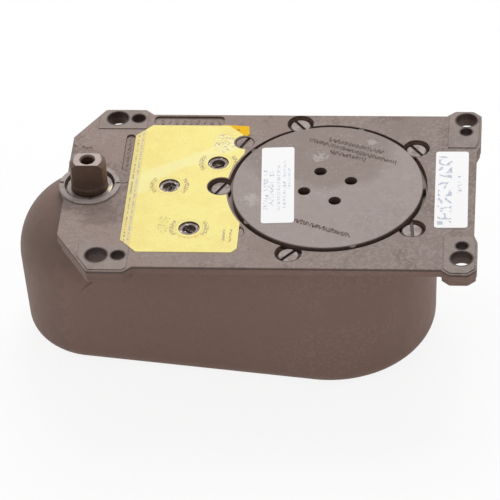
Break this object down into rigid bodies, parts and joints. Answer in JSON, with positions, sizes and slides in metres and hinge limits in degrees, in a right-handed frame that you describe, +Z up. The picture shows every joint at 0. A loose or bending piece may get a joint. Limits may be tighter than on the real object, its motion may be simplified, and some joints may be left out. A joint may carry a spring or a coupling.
{
  "type": "floor spring door closer",
  "caption": "Floor spring door closer: cast tub with flanged deck, drive spindle with flats, round spring-tension cover and damping valves.",
  "frame": {"origin": "on the flat base face, under the spindle's axis", "axes": "+X from the spindle towards the spring drum, +Z up through the spindle, +Y across the deck"},
  "size_m": [0.3056, 0.167, 0.1368],
  "materials": {
    "cast_case": "as-cast grey-brown paint, machined deck",
    "gland_metal": "turned",
    "seal_ring": "turned, dull",
    "bronze": "bearing bronze",
    "bright_screw": "zinc plated",
    "block_casting": "machined casting",
    "screw_steel": "oiled steel",
    "yellow_label": "printed film",
    "orange_label": "printed film",
    "white_label": "printed film",
    "spindle_steel": "dark oiled steel",
    "arm_steel": "forged and machined",
    "cover_metal": "cast, painted grey-brown",
    "seal_rubber": "oil-resistant rubber",
    "spring_steel": "oil-tempered",
    "valve_metal": "turned"
  },
  "bodies": {
    "housing": {"case_casting": "cast_case", "gland_ring": "gland_metal", "shaft_seal": "seal_ring", "upper_bush": "bronze", "lower_bush": "bronze", "gland_lock_screw": "bright_screw", "cylinder_block": "block_casting", "cylinder_plug": "screw_steel", "block_screws": "screw_steel", "clamp_screws": "screw_steel", "passage_plugs": "screw_steel", "deck_label": "yellow_label", "tab_label": "orange_label", "tail_label": "white_label"},
    "drive": {"spindle": "spindle_steel", "crank_arm": "arm_steel", "drive_keys": "screw_steel", "crank_pin": "screw_steel", "drive_pinion": "spindle_steel"},
    "link": {"link_bar": "arm_steel", "link_bushes": "bronze"},
    "spring_side": {"spring_hub": "arm_steel", "hub_pin": "screw_steel"},
    "tension_cover": {"spring_cover": "cover_metal", "cover_ring": "seal_rubber", "spring_post": "arm_steel", "anchor_plate": "arm_steel", "torsion_spring": "spring_steel", "cover_label": "white_label", "hub_washer": "bronze"},
    "piston": {"rack_piston": "arm_steel", "piston_ring": "seal_rubber", "check_ball": "bright_screw", "ball_retainer": "screw_steel"},
    "closing": {"closing_valve": "valve_metal", "closing_o_ring": "seal_rubber"},
    "latching": {"latching_valve": "valve_metal", "latching_o_ring": "seal_rubber"},
    "backcheck": {"backcheck_valve": "valve_metal", "backcheck_o_ring": "seal_rubber"}
  },
  "joints": [
    {"name": "spindle_turn", "type": "hinge", "parent": "housing", "child": "drive", "pos_m": [0, 0, 0.1], "axis": [0, 0, 1], "range_deg": [0, 110], "stiffness_Nm_per_rad": 6, "springref_deg": -28.65, "deforming": ["torsion_spring"]},
    {"name": "link_swing", "type": "hinge", "parent": "drive", "child": "link", "pos_m": [-0.02457, -0.01721, 0.067], "axis": [0, 0, 1], "range_deg": [-110, 0]},
    {"name": "spring_hub_turn", "type": "hinge", "parent": "housing", "child": "spring_side", "pos_m": [0.1565, 0, 0.07], "axis": [0, 0, 1], "range_deg": [0, 110], "deforming": ["torsion_spring"]},
    {"name": "piston_slide", "type": "slide", "parent": "housing", "child": "piston", "axis": [1, 0, 0], "range_m": [0, 0.0231]},
    {"name": "cover_turn", "type": "hinge", "parent": "housing", "child": "tension_cover", "pos_m": [0.1565, 0, 0.1], "axis": [0, 0, 1], "range_deg": [-28, 28], "deforming": ["torsion_spring"]},
    {"name": "closing_valve_turn", "type": "hinge", "parent": "housing", "child": "closing", "pos_m": [0.083, 0.0242, 0.11], "axis": [0, 0, 1], "range_deg": [0, 720]},
    {"name": "latching_valve_turn", "type": "hinge", "parent": "housing", "child": "latching", "pos_m": [0.0527, 0.0002, 0.11], "axis": [0, 0, 1], "range_deg": [0, 720]},
    {"name": "backcheck_valve_turn", "type": "hinge", "parent": "housing", "child": "backcheck", "pos_m": [0.0692, -0.043, 0.11], "axis": [0, 0, 1], "range_deg": [0, 720]}
  ],
  "couplings": [
    {"joint": "link_swing", "follows": "spindle_turn", "ratio": -1},
    {"joint": "spring_hub_turn", "follows": "spindle_turn", "ratio": 1},
    {"joint": "piston_slide", "follows": "spindle_turn", "m_per_rad": 0.012}
  ]
}
